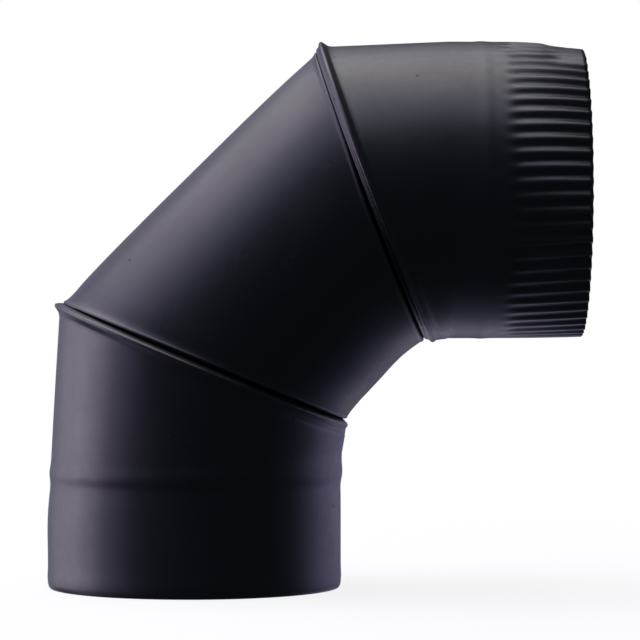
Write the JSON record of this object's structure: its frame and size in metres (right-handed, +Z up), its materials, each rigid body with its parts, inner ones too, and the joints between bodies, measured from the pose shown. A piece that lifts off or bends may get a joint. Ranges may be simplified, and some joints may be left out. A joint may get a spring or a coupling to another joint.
{
  "type": "flue elbow",
  "caption": "Black sheet-steel flue elbow turning a right angle through swivelling gores, plain socket below and crimped spigot at the side.",
  "frame": {"origin": "middle of the elbow's box at the height of the plain end's rim, which the elbow stands on", "axes": "+Z up along the plain end's axis, +X along the outlet's axis towards the crimped rim, +Y across the bend"},
  "size_m": [0.2806, 0.1683, 0.2874],
  "materials": {
    "plain_end_paint": "matt black high-temperature paint on sheet steel",
    "middle_paint": "matt black high-temperature paint on sheet steel",
    "crimped_end_paint": "matt black high-temperature paint on sheet steel"
  },
  "bodies": {
    "plain_end": {"plain_end_gore": "plain_end_paint"},
    "middle": {"middle_gore": "middle_paint"},
    "crimped_end": {"crimped_end_gore": "crimped_end_paint"}
  },
  "joints": [
    {"name": "lower_swivel", "type": "hinge", "parent": "plain_end", "child": "middle", "pos_m": [-0.0592, 0, 0.1179], "axis": [0.3827, 0, 0.9239], "continuous": true},
    {"name": "upper_swivel", "type": "hinge", "parent": "middle", "child": "crimped_end", "pos_m": [0.0317, 0, 0.2074], "axis": [0.9345, -0.0576, 0.3513], "continuous": true}
  ]
}
